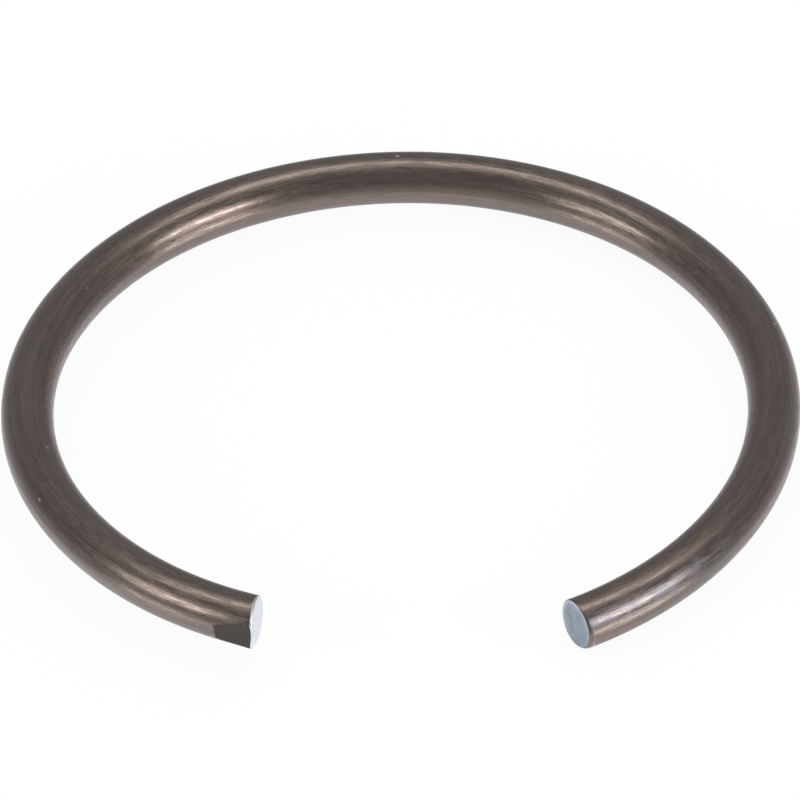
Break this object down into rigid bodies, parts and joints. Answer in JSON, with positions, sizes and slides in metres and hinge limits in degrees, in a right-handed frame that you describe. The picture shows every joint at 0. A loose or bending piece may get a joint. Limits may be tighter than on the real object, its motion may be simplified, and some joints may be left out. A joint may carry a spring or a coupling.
{
  "type": "round wire snap ring",
  "caption": "Open retaining ring of round spring-steel wire, a C shape with two bare cropped ends, that springs into a groove in a bore.",
  "frame": {"origin": "centre of the ring on its axis, at half its height", "axes": "+Z along the ring's axis, with the higher end of the wire up; -Y through the middle of the gap between the ends; +X across the ring, towards the lower end"},
  "size_m": [0.0304, 0.0289, 0.003],
  "materials": {
    "oiled_spring_wire": "dark brown oiled wire with drawn lines along it, semi-gloss, and bare grey steel on the two cropped ends"
  },
  "bodies": {
    "root": {"snap_ring": "oiled_spring_wire"}
  },
  "joints": []
}
